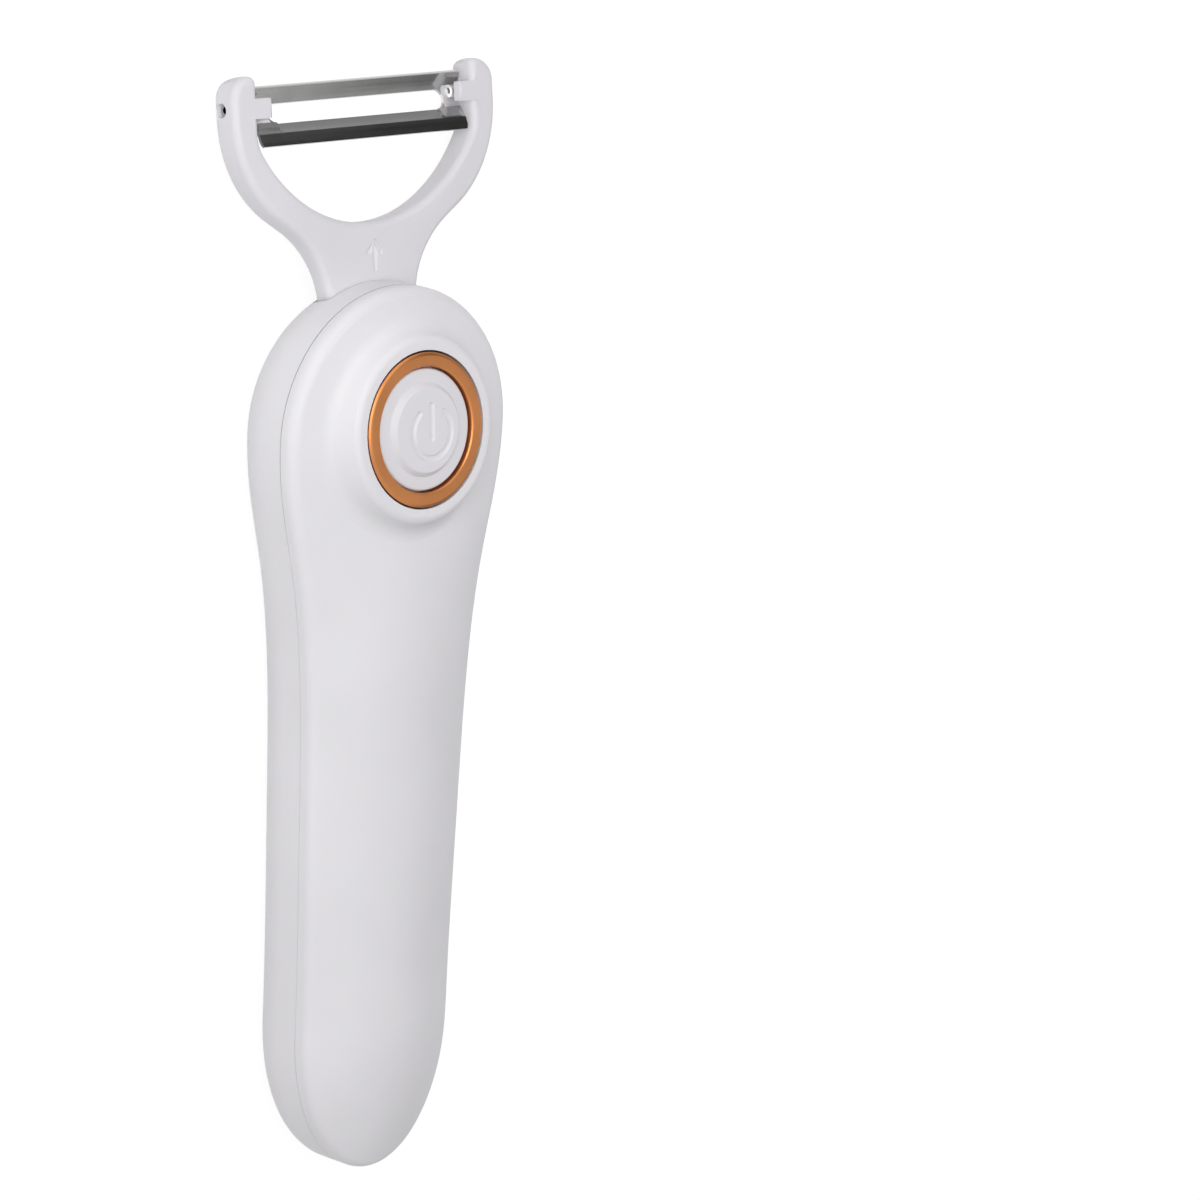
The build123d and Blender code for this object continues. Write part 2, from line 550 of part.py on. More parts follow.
with BuildPart() as power_button:
    with BuildSketch(BUTTON_PLANE.offset(-FLANGE_DEPTH)):
        Circle(FLANGE_RADIUS)
    extrude(amount=BUTTON_FLANGE_THICKNESS)
    with BuildSketch(BUTTON_PLANE.offset(-FLANGE_DEPTH)):
        Circle(BUTTON_RADIUS)
    extrude(amount=FLANGE_DEPTH + CAP_TOP)
    fillet(power_button.edges().filter_by(GeomType.CIRCLE).sort_by(Axis.Z)[-1], BUTTON_EDGE_RADIUS)
    with BuildSketch(BUTTON_PLANE.offset(CAP_TOP)):
        Circle(BUTTON_DISC_RADIUS)
    extrude(amount=BUTTON_DISC_HEIGHT, taper=BUTTON_DISC_DRAFT)
    fillet(power_button.edges().filter_by(GeomType.CIRCLE).sort_by(Axis.Z)[-1], BUTTON_EDGE_RADIUS)
    with BuildSketch(BUTTON_PLANE.offset(-FLANGE_DEPTH)):
        Circle(BUTTON_RADIUS - BUTTON_WALL)
        Circle(BUTTON_STEM_RADIUS, mode=Mode.SUBTRACT)
    extrude(amount=FLANGE_DEPTH + CAP_TOP - BUTTON_WALL, mode=Mode.SUBTRACT)
    with BuildSketch(BUTTON_PLANE.offset(STEM_BOTTOM)):
        Circle(BUTTON_STEM_RADIUS)
    extrude(amount=-STEM_BOTTOM + CAP_TOP)
power_button.part.label = "power_button"
export_step(power_button.part, "parts/power_button.step")

with BuildPart() as button_seal:
    with BuildSketch(BUTTON_PLANE.offset(-SEAL_DEPTH)):
        Circle(WELL_RADIUS)
        Circle(BUTTON_STEM_RADIUS + BUTTON_GAP, mode=Mode.SUBTRACT)
    extrude(amount=-SEAL_THICKNESS)
button_seal.part.label = "button_seal"
export_step(button_seal.part, "parts/button_seal.step")

with BuildPart() as circuit_board:
    with BuildSketch(BUTTON_PLANE.offset(-BOARD_DEPTH)):
        Circle(BOARD_RADIUS)
        with Locations(*BOARD_SCREWS):
            Circle(SCREW_RADIUS, mode=Mode.SUBTRACT)
        with Locations((0, BOARD_RADIUS), (0, -BOARD_RADIUS)):
            SlotOverall(BOARD_NOTCH_LENGTH, BOARD_NOTCH_WIDTH, mode=Mode.SUBTRACT)
    extrude(amount=-BOARD_THICKNESS)
    # controller chip and two small parts on the underside
    with BuildSketch(BUTTON_PLANE.offset(-BOARD_DEPTH - BOARD_THICKNESS)):
        with Locations((0, CHIP_Y)):
            Rectangle(CHIP_LENGTH, CHIP_WIDTH)
        with Locations((-COIL_X, CHIP_Y), (COIL_X, CHIP_Y)):
            Rectangle(COIL_WIDTH, COIL_LENGTH)
    extrude(amount=-CHIP_HEIGHT)
circuit_board.part.label = "circuit_board"
export_step(circuit_board.part, "parts/circuit_board.step")

BOARD_BOTTOM = BUTTON_PLANE.offset(-BOARD_DEPTH - BOARD_THICKNESS)
BOARD_BOTTOM_DOWN = Plane(BOARD_BOTTOM.origin, x_dir=(1, 0, 0), z_dir=-BOARD_BOTTOM.z_dir)
board_screws = screw(BOARD_BOTTOM_DOWN, BOARD_SCREWS, BOARD_THICKNESS + BOARD_SCREW_GRIP - SCREW_END_GAP)
board_screws.label = "board_screws"
export_step(board_screws, "parts/board_screws.step")

with BuildPart() as tact_switch:
    with BuildSketch(BUTTON_PLANE.offset(-BOARD_DEPTH)):
        RectangleRounded(SWITCH_SIDE, SWITCH_SIDE, SWITCH_CORNER)
    extrude(amount=SWITCH_HEIGHT)
    with BuildSketch(BUTTON_PLANE.offset(SWITCH_HEIGHT - BOARD_DEPTH)):
        Circle(PLUNGER_RADIUS + SLIP)
    extrude(amount=-SWITCH_HEIGHT / 2, mode=Mode.SUBTRACT)
tact_switch.part.label = "tact_switch"
export_step(tact_switch.part, "parts/tact_switch.step")

with BuildPart() as switch_plunger:
    with BuildSketch(BUTTON_PLANE.offset(PLUNGER_TOP)):
        Circle(PLUNGER_RADIUS)
    extrude(amount=-PLUNGER_STAND - SWITCH_HEIGHT / 2 + BUTTON_TRAVEL + SLIP)
    chamfer(switch_plunger.edges().sort_by(Axis.Z)[-1], PLUNGER_EDGE)
switch_plunger.part.label = "switch_plunger"
export_step(switch_plunger.part, "parts/switch_plunger.step")


# ---- head socket ----
with BuildPart() as head_socket:
    with BuildSketch(along_head(-PLUG_LENGTH - SOCKET_CLEARANCE - SOCKET_WALL)):
        RectangleRounded(
            2 * SOCKET_HALF_WIDTH,
            PLUG_THICKNESS + 2 * (SOCKET_CLEARANCE + SOCKET_WALL),
            SOCKET_CORNER_RADIUS,
        )
    extrude(amount=PLUG_LENGTH + SOCKET_CLEARANCE + SOCKET_WALL)
    with BuildSketch(along_head(-SOCKET_WALL)):
        RectangleRounded(
            2 * (NECK_HALF_WIDTH + SOCKET_CLEARANCE + SOCKET_WALL),
            NECK_THICKNESS + 2 * (SOCKET_CLEARANCE + SOCKET_WALL),
            SOCKET_CORNER_RADIUS,
        )
    extrude(amount=SOCKET_WALL + SOCKET_NECK_LENGTH)
    # ears that screw down on the casing's bosses
    with BuildSketch(PARTING.offset(SOCKET_EAR_HEIGHT)):
        with Locations((0, SOCKET_EAR_Y)):
            SlotOverall(2 * (SOCKET_HALF_WIDTH + SOCKET_EAR_LENGTH), 2 * BOSS_RADIUS)
    extrude(amount=SOCKET_EAR_THICKNESS)
    # pocket for the plug, pocket for the neck, channel for the tongue's ridge
    with BuildSketch(along_head(-PLUG_LENGTH - SOCKET_CLEARANCE)):
        Rectangle(2 * (PLUG_HALF_WIDTH + SOCKET_CLEARANCE), PLUG_THICKNESS + 2 * SOCKET_CLEARANCE)
    extrude(amount=PLUG_LENGTH + SOCKET_CLEARANCE, mode=Mode.SUBTRACT)
    with BuildSketch(along_head(-SLIP)):
        Rectangle(2 * (NECK_HALF_WIDTH + SOCKET_CLEARANCE), NECK_THICKNESS + 2 * SOCKET_CLEARANCE)
    extrude(amount=SLIP + SOCKET_NECK_LENGTH, mode=Mode.SUBTRACT)
    with BuildSketch(PARTING.offset(SOCKET_EAR_HEIGHT)):
        with Locations(*SOCKET_SCREWS):
            Circle(SCREW_RADIUS)
    extrude(amount=SOCKET_EAR_THICKNESS, mode=Mode.SUBTRACT)
head_socket.part.label = "head_socket"
export_step(head_socket.part, "parts/head_socket.step")

SOCKET_EAR_TOP = PARTING.offset(SOCKET_EAR_HEIGHT + SOCKET_EAR_THICKNESS)
socket_screws = screw(SOCKET_EAR_TOP, SOCKET_SCREWS, SOCKET_EAR_THICKNESS + BOSS_SCREW_GRIP - SCREW_END_GAP)
socket_screws.label = "socket_screws"
export_step(socket_screws, "parts/socket_screws.step")


# ---- cutting head ----
CROTCH_CENTRE = HEAD_REACH - CROTCH_DEPTH + CROTCH_RADIUS
CROTCH_SWEEP = degrees(asin(ARM_INSIDE / CROTCH_RADIUS))
HEAD_SIDE = Plane(origin=HEAD_PLANE.origin, x_dir=HEAD_PLANE.y_dir, z_dir=(1, 0, 0))

with BuildPart() as head_yoke:
    with BuildSketch(HEAD_PLANE) as head_outline:
        with BuildLine():
            Line((0, 0), (NECK_HALF_WIDTH, 0))
            neck = Line((NECK_HALF_WIDTH, 0), (NECK_HALF_WIDTH, NECK_STRAIGHT))
            shoulder = JernArc(neck @ 1, neck % 1, SHOULDER_RADIUS, -SHOULDER_ANGLE)
            slope = Line(shoulder @ 1, shoulder @ 1 + (shoulder % 1) * SLOPE_LENGTH)
            elbow = JernArc(slope @ 1, slope % 1, ELBOW_RADIUS, SHOULDER_ANGLE)
            Line(elbow @ 1, (HEAD_HALF_WIDTH, HEAD_REACH))
            Line((HEAD_HALF_WIDTH, HEAD_REACH), (ARM_INSIDE, HEAD_REACH))
            opening = CenterArc((0, CROTCH_CENTRE), CROTCH_RADIUS, 270, CROTCH_SWEEP)
            Line((ARM_INSIDE, HEAD_REACH), opening @ 1)
            Line(opening @ 0, (0, 0))
        make_face()
        mirror(about=Plane.YZ)
        corners = head_outline.vertices().filter_by(
            lambda vertex: abs(abs(vertex.X) - ARM_INSIDE) < SLIP and vertex.Y < HEAD_REACH - SLIP
        )
        fillet(corners, CROTCH_CORNER_RADIUS)
        tips = head_outline.vertices().filter_by(lambda vertex: abs(vertex.Y - HEAD_REACH) < SLIP)
        fillet(tips.filter_by(lambda vertex: abs(vertex.X) > ARM_INSIDE + SLIP), TIP_RADIUS)
        tips = head_outline.vertices().filter_by(lambda vertex: abs(vertex.Y - HEAD_REACH) < SLIP)
        fillet(tips.filter_by(lambda vertex: abs(vertex.X) < ARM_INSIDE + SLIP / 2), TIP_INNER_RADIUS)
    extrude(amount=ARM_HALF, both=True)
    with BuildSketch(HEAD_SIDE):
        with BuildLine():
            Polyline((TAPER_START, NECK_THICKNESS / 2), (0, NECK_THICKNESS / 2), (0, 0), (HEAD_REACH, 0))
            Polyline((HEAD_REACH, 0), (HEAD_REACH, ARM_HALF), (TAPER_END, ARM_HALF))
            Spline(
                (TAPER_START, NECK_THICKNESS / 2),
                (TAPER_END, ARM_HALF),
                tangents=((1, 0), (1, 0)),
            )
        make_face()
        mirror(about=Plane.XZ)
    extrude(amount=HEAD_HALF_WIDTH, both=True, mode=Mode.INTERSECT)
    # soft edges front and back
    rims = head_yoke.edges().filter_by(
        lambda edge: abs(HEAD_PLANE.to_local_coords(edge.center()).Z) > NECK_THICKNESS / 2 - SLIP
        and HEAD_PLANE.to_local_coords(edge.center()).Y > SLIP
        and abs(HEAD_PLANE.to_local_coords(edge.center()).X) > SLIP
    )
    fillet(rims, ARM_EDGE_RADIUS)
    # the round at the back of each arm's tip
    with BuildSketch(HEAD_SIDE):
        with Locations((TIP_BACK_REACH, TIP_BACK_HEIGHT)):
            Rectangle(2 * TIP_BACK_RADIUS, 2 * TIP_BACK_RADIUS, align=(Align.MIN, Align.MAX))
            Circle(TIP_BACK_RADIUS, mode=Mode.SUBTRACT)
    extrude(amount=HEAD_HALF_WIDTH, both=True, mode=Mode.SUBTRACT)
    # stop nubs, level with the front of the arms
    nub_root = ARM_EDGE_RADIUS + NUB_ROOT
    for sign in (-1, 1):
        with BuildSketch(HEAD_PLANE.offset(ARM_HALF)):
            with Locations((sign * (ARM_INSIDE - (NUB_REACH - nub_root) / 2), PIVOT_REACH)):
                Rectangle(NUB_REACH + nub_root, NUB_WIDTH)
        extrude(amount=-NUB_THICKNESS)
    nub_ends = head_yoke.faces().filter_by(Axis.X).filter_by(
        lambda face: abs(abs(face.center().X) - ARM_INSIDE + NUB_REACH) < SLIP
    )
    fillet(nub_ends.edges(), NUB_RADIUS)
    # plug with a springy tongue between two slots
    with BuildSketch(HEAD_PLANE) as plug_outline:
        with Locations((0, -PLUG_LENGTH / 2)):
            Rectangle(2 * PLUG_HALF_WIDTH, PLUG_LENGTH)
        fillet(plug_outline.vertices().group_by(Axis.Y)[0], PLUG_CORNER_RADIUS)
        with Locations((0, -PLUG_LENGTH + PLUG_SLOT_LENGTH / 2)):
            with GridLocations(TONGUE_WIDTH + PLUG_SLOT_WIDTH, 0, 2, 1):
                Rectangle(PLUG_SLOT_WIDTH, PLUG_SLOT_LENGTH, mode=Mode.SUBTRACT)
    extrude(amount=PLUG_THICKNESS / 2, both=True)
    tongue_start = PLUG_SLOT_LENGTH - PLUG_LENGTH - TONGUE_ROOT
    with BuildSketch(HEAD_PLANE.offset(PLUG_THICKNESS / 2)):
        with Locations((0, (tongue_start - PLUG_LENGTH + TONGUE_RIDGE) / 2)):
            Rectangle(TONGUE_WIDTH, tongue_start + PLUG_LENGTH - TONGUE_RIDGE)
    extrude(amount=-TONGUE_STEP, mode=Mode.SUBTRACT)
    # bore for the blade's journals
    with BuildSketch(HEAD_SIDE.offset(-HEAD_HALF_WIDTH - 1)):
        with Locations((PIVOT_REACH, PIVOT_HEIGHT)):
            Circle(JOURNAL_RADIUS + BORE_CLEARANCE)
    extrude(amount=2 * HEAD_HALF_WIDTH + 2, mode=Mode.SUBTRACT)
head_yoke.part.label = "head_yoke"
export_step(head_yoke.part, "parts/head_yoke.step")


# ---- swivel blade ----
PIVOT = HEAD_PLANE.from_local_coords(Vector(0, PIVOT_REACH, PIVOT_HEIGHT))
BLADE_ANGLE = radians(BLADE_SWING)
BLADE_UP = HEAD_PLANE.y_dir * cos(BLADE_ANGLE) - HEAD_PLANE.z_dir * sin(BLADE_ANGLE)
BLADE_SECTION = Plane(origin=PIVOT, x_dir=BLADE_UP, z_dir=(1, 0, 0))
BLADE_FACE = Plane(origin=PIVOT, x_dir=(1, 0, 0), z_dir=BLADE_SECTION.y_dir)
BLADE_HALF = ARM_INSIDE - BLADE_END_GAP
BLADE_SLOT_LENGTH = 2 * (BLADE_HALF - BLADE_SLOT_MARGIN)
BEVEL_LENGTH = BLADE_SLOT_LENGTH - 2 * BEVEL_MARGIN
SLOT_BOTTOM = BLADE_SLOT_TOP - BLADE_SLOT_WIDTH
GUARD_EDGE = BLADE_SLOT_TOP + GUARD_WIDTH
BAR_EDGE = SLOT_BOTTOM - 2 * BAR_WIDTH

with BuildPart() as swivel_blade:
    # pressed sheet: guard flange, flat with the slot, and two facets
    with BuildSketch(BLADE_SECTION.offset(-BLADE_HALF)):
        with BuildLine():
            FilletPolyline(
                (GUARD_EDGE, GUARD_RISE),
                (BLADE_SLOT_TOP, 0),
                (SLOT_BOTTOM + BLADE_SHEET, 0),
                (SLOT_BOTTOM - BAR_WIDTH, BAR_RISE),
                (BAR_EDGE, BAR_RISE + BAR_KICK),
                radius=BLADE_BEND,
            )
        trace(line_width=BLADE_SHEET)
    extrude(amount=2 * BLADE_HALF)
    with BuildSketch(BLADE_FACE) as blank:
        with Locations((0, (GUARD_EDGE + BAR_EDGE) / 2)):
            Rectangle(2 * BLADE_HALF, GUARD_EDGE - BAR_EDGE + 2 * BLADE_SHEET)
        fillet(blank.vertices().group_by(Axis.Y)[0], BAR_CORNER)
        chamfer(blank.vertices().group_by(Axis.Y)[-1], GUARD_CORNER)
    extrude(amount=2 * GUARD_RISE, both=True, mode=Mode.INTERSECT)
    with BuildSketch(BLADE_FACE):
        with Locations((0, BLADE_SLOT_TOP - BLADE_SLOT_WIDTH / 2)):
            SlotOverall(BLADE_SLOT_LENGTH, BLADE_SLOT_WIDTH)
    extrude(amount=2 * GUARD_RISE, both=True, mode=Mode.SUBTRACT)
    # ground bevel that makes the cutting edge
    with BuildSketch(BLADE_SECTION.offset(-BEVEL_LENGTH / 2)):
        with BuildLine():
            Polyline(
                (SLOT_BOTTOM + SLIP, BLADE_EDGE - BLADE_SHEET / 2),
                (SLOT_BOTTOM - BEVEL_WIDTH, BAR_RISE),
                (SLOT_BOTTOM + SLIP, 2 * BAR_RISE),
                close=True,
            )
        make_face()
    extrude(amount=BEVEL_LENGTH, mode=Mode.SUBTRACT)
    # rolled journals that turn in the arms
    for sign in (-1, 1):
        with BuildSketch(BLADE_SECTION.offset(sign * (BLADE_HALF - JOURNAL_ROOT))):
            Circle(JOURNAL_RADIUS)
            Circle(JOURNAL_RADIUS - BLADE_SHEET, mode=Mode.SUBTRACT)
        extrude(amount=sign * (HEAD_HALF_WIDTH - JOURNAL_RECESS - BLADE_HALF + JOURNAL_ROOT))
swivel_blade.part.label = "swivel_blade"
export_step(swivel_blade.part, "parts/swivel_blade.step")


# ---- motor and its weight ----
MOTOR_FRONT = MOTOR_Y + MOTOR_LENGTH

with BuildPart() as motor_can:
    with BuildSketch(across(MOTOR_Y, MOTOR_HEIGHT_AXIS)):
        add(motor_profile.sketch)
    extrude(amount=MOTOR_LENGTH)
    chamfer(motor_can.faces().sort_by(Axis.Y)[-1].edges(), MOTOR_EDGE)
    with BuildSketch(across(MOTOR_FRONT, MOTOR_HEIGHT_AXIS)):
        Circle(MOTOR_NOSE_RADIUS)
    extrude(amount=MOTOR_NOSE_LENGTH)
    with BuildSketch(across(MOTOR_FRONT - SHAFT_INSIDE, MOTOR_HEIGHT_AXIS)):
        Circle(SHAFT_RADIUS + SLIP)
    extrude(amount=SHAFT_INSIDE + MOTOR_NOSE_LENGTH, mode=Mode.SUBTRACT)
motor_can.part.label = "motor_can"
export_step(motor_can.part, "parts/motor_can.step")

with BuildPart() as motor_end_cap:
    with BuildSketch(across(MOTOR_Y, MOTOR_HEIGHT_AXIS)):
        add(motor_profile.sketch)
    extrude(amount=-END_CAP_LENGTH)
    chamfer(motor_end_cap.faces().sort_by(Axis.Y)[0].edges(), END_CAP_EDGE)
motor_end_cap.part.label = "motor_end_cap"
export_step(motor_end_cap.part, "parts/motor_end_cap.step")

with BuildPart() as motor_terminals:
    with BuildSketch(across(MOTOR_Y - END_CAP_LENGTH, MOTOR_HEIGHT_AXIS)):
        with GridLocations(MOTOR_WIDTH / 2, 0, 2, 1):
            Rectangle(TERMINAL_THICKNESS, TERMINAL_WIDTH)
    extrude(amount=-TERMINAL_LENGTH)
motor_terminals.part.label = "motor_terminals"
export_step(motor_terminals.part, "parts/motor_terminals.step")

with BuildPart() as motor_shaft:
    with BuildSketch(across(MOTOR_FRONT - SHAFT_INSIDE + SLIP, MOTOR_HEIGHT_AXIS)):
        Circle(SHAFT_RADIUS)
    extrude(amount=SHAFT_INSIDE + SHAFT_LENGTH)
motor_shaft.part.label = "motor_shaft"
export_step(motor_shaft.part, "parts/motor_shaft.step")

with BuildPart() as eccentric_weight:
    with BuildSketch(across(MOTOR_FRONT + MOTOR_NOSE_LENGTH + WEIGHT_GAP, MOTOR_HEIGHT_AXIS)):
        Circle(WEIGHT_RADIUS)
        with Locations((0, WEIGHT_RADIUS)):
            Rectangle(2 * WEIGHT_RADIUS, 2 * WEIGHT_RADIUS, mode=Mode.SUBTRACT)
        Circle(WEIGHT_HUB_RADIUS)
        Circle(SHAFT_RADIUS, mode=Mode.SUBTRACT)
    extrude(amount=WEIGHT_LENGTH)
eccentric_weight.part.label = "eccentric_weight"
export_step(eccentric_weight.part, "parts/eccentric_weight.step")

CLAMP_HALF_WIDTH = MOTOR_WIDTH / 2 + CLAMP_THICKNESS

with BuildPart() as motor_clamp:
    with BuildSketch(across(CLAMP_Y - CLAMP_LENGTH / 2, MOTOR_HEIGHT_AXIS)):
        Circle(CLAMP_HALF_WIDTH)
        Rectangle(2 * CLAMP_HALF_WIDTH, MOTOR_HEIGHT + 2 * CLAMP_THICKNESS, mode=Mode.INTERSECT)
        with Locations((0, -CLAMP_HALF_WIDTH)):
            Rectangle(2 * CLAMP_HALF_WIDTH, 2 * CLAMP_HALF_WIDTH, mode=Mode.SUBTRACT)
        with Locations((0, CLAMP_THICKNESS / 2)):
            Rectangle(2 * (CLAMP_HALF_WIDTH + CLAMP_FOOT), CLAMP_THICKNESS)
        add(motor_profile.sketch, mode=Mode.SUBTRACT)
    extrude(amount=CLAMP_LENGTH)
    with BuildSketch(PARTING.offset(MOTOR_HEIGHT_AXIS)):
        with Locations(*CLAMP_SCREWS):
            Circle(SCREW_RADIUS)
    extrude(amount=CLAMP_THICKNESS, mode=Mode.SUBTRACT)
motor_clamp.part.label = "motor_clamp"
export_step(motor_clamp.part, "parts/motor_clamp.step")

CLAMP_TOP = PARTING.offset(MOTOR_HEIGHT_AXIS + CLAMP_THICKNESS)
clamp_screws = screw(CLAMP_TOP, CLAMP_SCREWS, CLAMP_THICKNESS + BOSS_SCREW_GRIP - SCREW_END_GAP)
clamp_screws.label = "clamp_screws"
export_step(clamp_screws, "parts/clamp_screws.step")


# ---- cell and charging ----
with BuildPart() as battery_cell:
    with BuildSketch(across(CELL_Y, CELL_HEIGHT_AXIS)):
        Circle(CELL_RADIUS)
    extrude(amount=CELL_LENGTH)
    chamfer(battery_cell.edges(), CELL_EDGE)
    with BuildSketch(across(CELL_FRONT, CELL_HEIGHT_AXIS)):
        Circle(CELL_NUB_RADIUS)
    extrude(amount=CELL_NUB_LENGTH)
battery_cell.part.label = "battery_cell"
export_step(battery_cell.part, "parts/battery_cell.step")

with BuildPart() as battery_tabs:
    for tab_y, sign in ((CELL_Y, -1), (CELL_FRONT + CELL_NUB_LENGTH, 1)):
        with BuildSketch(across(tab_y, CELL_HEIGHT_AXIS)):
            Rectangle(TAB_WIDTH, TAB_REACH)
        extrude(amount=sign * TAB_THICKNESS)
battery_tabs.part.label = "battery_tabs"
export_step(battery_tabs.part, "parts/battery_tabs.step")

with BuildPart() as battery_pad:
    with BuildSketch(PARTING.offset(CELL_HEIGHT_AXIS + CELL_RADIUS)):
        with Locations((0, CELL_Y + CELL_LENGTH / 2)):
            Rectangle(PAD_WIDTH, CELL_LENGTH - 2 * PAD_MARGIN)
    extrude(amount=PAD_THICKNESS)
battery_pad.part.label = "battery_pad"
export_step(battery_pad.part, "parts/battery_pad.step")

with BuildPart() as usb_socket:
    with BuildSketch(across(PORT_INSET, PORT_DEPTH)):
        RectangleRounded(PORT_WIDTH, PORT_HEIGHT, PORT_HEIGHT / 2 - SLIP)
    extrude(amount=PORT_LENGTH)
    with BuildSketch(across(PORT_INSET, PORT_DEPTH)):
        RectangleRounded(
            PORT_WIDTH - 2 * PORT_SHEET,
            PORT_HEIGHT - 2 * PORT_SHEET,
            PORT_HEIGHT / 2 - PORT_SHEET - SLIP,
        )
    extrude(amount=PORT_LENGTH - PORT_SHEET, mode=Mode.SUBTRACT)
usb_socket.part.label = "usb_socket"
export_step(usb_socket.part, "parts/usb_socket.step")

with BuildPart() as usb_tongue:
    with BuildSketch(across(PORT_INSET + PORT_LENGTH - PORT_SHEET, PORT_DEPTH)):
        RectangleRounded(
            PORT_WIDTH - 2 * PORT_SHEET,
            PORT_HEIGHT - 2 * PORT_SHEET,
            PORT_HEIGHT / 2 - PORT_SHEET - SLIP,
        )
    extrude(amount=-PORT_BASE_LENGTH)
    with BuildSketch(across(PORT_INSET + PORT_LENGTH - PORT_SHEET, PORT_DEPTH)):
        Rectangle(PORT_TONGUE_WIDTH, PORT_TONGUE_HEIGHT)
    extrude(amount=-PORT_BASE_LENGTH - PORT_TONGUE_LENGTH)
usb_tongue.part.label = "usb_tongue"
export_step(usb_tongue.part, "parts/usb_tongue.step")

with BuildPart() as charging_board:
    with BuildSketch(PARTING.offset(PORT_BOTTOM)):
        with Locations((0, CHARGE_BOARD_Y + CHARGE_BOARD_LENGTH / 2)):
            Rectangle(CHARGE_BOARD_WIDTH, CHARGE_BOARD_LENGTH)
    extrude(amount=-CHARGE_BOARD_THICKNESS)
    with BuildSketch(PARTING.offset(PORT_BOTTOM)):
        with Locations((0, CHARGE_BOARD_Y + CHARGE_BOARD_LENGTH - CHARGER_MARGIN - CHARGER_WIDTH / 2)):
            Rectangle(CHARGER_LENGTH, CHARGER_WIDTH)
    extrude(amount=CHARGER_HEIGHT)
charging_board.part.label = "charging_board"
export_step(charging_board.part, "parts/charging_board.step")
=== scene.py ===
from math import cos, pi, radians, sin

import bmesh
import bpy
from mathutils import Matrix, Vector


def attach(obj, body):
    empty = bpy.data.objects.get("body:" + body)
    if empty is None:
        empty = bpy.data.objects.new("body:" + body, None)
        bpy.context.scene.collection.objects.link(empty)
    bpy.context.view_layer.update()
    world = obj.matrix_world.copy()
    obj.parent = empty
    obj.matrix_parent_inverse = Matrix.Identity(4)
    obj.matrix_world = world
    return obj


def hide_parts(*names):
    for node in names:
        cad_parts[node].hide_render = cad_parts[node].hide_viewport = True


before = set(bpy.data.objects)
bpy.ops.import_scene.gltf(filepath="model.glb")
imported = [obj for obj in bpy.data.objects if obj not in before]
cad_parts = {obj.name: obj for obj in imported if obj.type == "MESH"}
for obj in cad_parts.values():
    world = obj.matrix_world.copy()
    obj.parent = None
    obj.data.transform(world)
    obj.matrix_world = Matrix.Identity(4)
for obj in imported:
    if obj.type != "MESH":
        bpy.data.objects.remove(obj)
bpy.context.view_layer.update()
MM = 0.001
scene = bpy.context.scene
scene.view_settings.view_transform = "Standard"

# ---- the camera, at the photograph's viewing angle ----
IMAGE = 1200
AZIMUTH = 45.889
ELEVATION = 12.348
ROLL = 2.723
DISTANCE = 1015.7 * MM
FOCAL = 6210.6                              # in pixels of the image
AIM = Vector((0, -1.2415, 13.858)) * MM     # middle of the object
SLIDE_RIGHT = -35.70 * MM
SLIDE_UP = -6.04 * MM
SENSOR = 36.0
CLIP_START = 0.05
CLIP_END = 20.0


def camera_axes():
    """Right, up and back of the camera in the frame of the CAD."""
    azimuth, elevation, roll = radians(AZIMUTH), radians(ELEVATION), radians(ROLL)
    back = Vector((-sin(azimuth) * cos(elevation), sin(elevation), cos(azimuth) * cos(elevation)))
    right = Vector((0, 1, 0)).cross(back).normalized()
    up = back.cross(right)
    return cos(roll) * right + sin(roll) * up, cos(roll) * up - sin(roll) * right, back


RIGHT, UP, BACK = camera_axes()
camera_data = bpy.data.cameras.new("camera")
camera = bpy.data.objects.new("camera", camera_data)
bpy.context.collection.objects.link(camera)
camera_data.sensor_width = SENSOR
camera_data.lens = FOCAL / IMAGE * SENSOR
camera_data.clip_start = CLIP_START
camera_data.clip_end = CLIP_END
turn = Matrix((RIGHT, UP, BACK)).transposed().to_4x4()
camera.matrix_world = Matrix.Translation(AIM + BACK * DISTANCE - RIGHT * SLIDE_RIGHT - UP * SLIDE_UP) @ turn
scene.camera = camera


# ---- small helpers for node trees ----
def link(nodes, source, target):
    nodes.id_data.links.new(source, target)


def grey(level):
    return (level, level, level, 1)


def maths(nodes, operation, *values):
    """The output of a Math node. Each value is a number or a socket."""
    node = nodes.new("ShaderNodeMath")
    node.operation = operation
    for target, value in zip(node.inputs, values):
        if isinstance(value, (int, float)):
            target.default_value = value
        else:
            link(nodes, value, target)
    return node.outputs[0]


def vector_maths(nodes, operation, source, constant=None):
    """The Vector Math node that works on a socket and, where it takes two vectors, a constant."""
    node = nodes.new("ShaderNodeVectorMath")
    node.operation = operation
    link(nodes, source, node.inputs[0])
    if constant is not None:
        node.inputs[1].default_value = constant
    return node


def ranged(nodes, value, start, end, low, high):
    """value, from start to end, spread out from low to high."""
    node = nodes.new("ShaderNodeMapRange")
    for key, number in (("From Min", start), ("From Max", end), ("To Min", low), ("To Max", high)):
        node.inputs[key].default_value = number
    link(nodes, value, node.inputs["Value"])
    return node.outputs["Result"]


def seen_directly(nodes):
    """1 for the rays that should find the white background: camera, glossy and transmission rays."""
    path = nodes.new("ShaderNodeLightPath")
    first = maths(nodes, "MAXIMUM", path.outputs["Is Camera Ray"], path.outputs["Is Glossy Ray"])
    return maths(nodes, "MAXIMUM", first, path.outputs["Is Transmission Ray"])


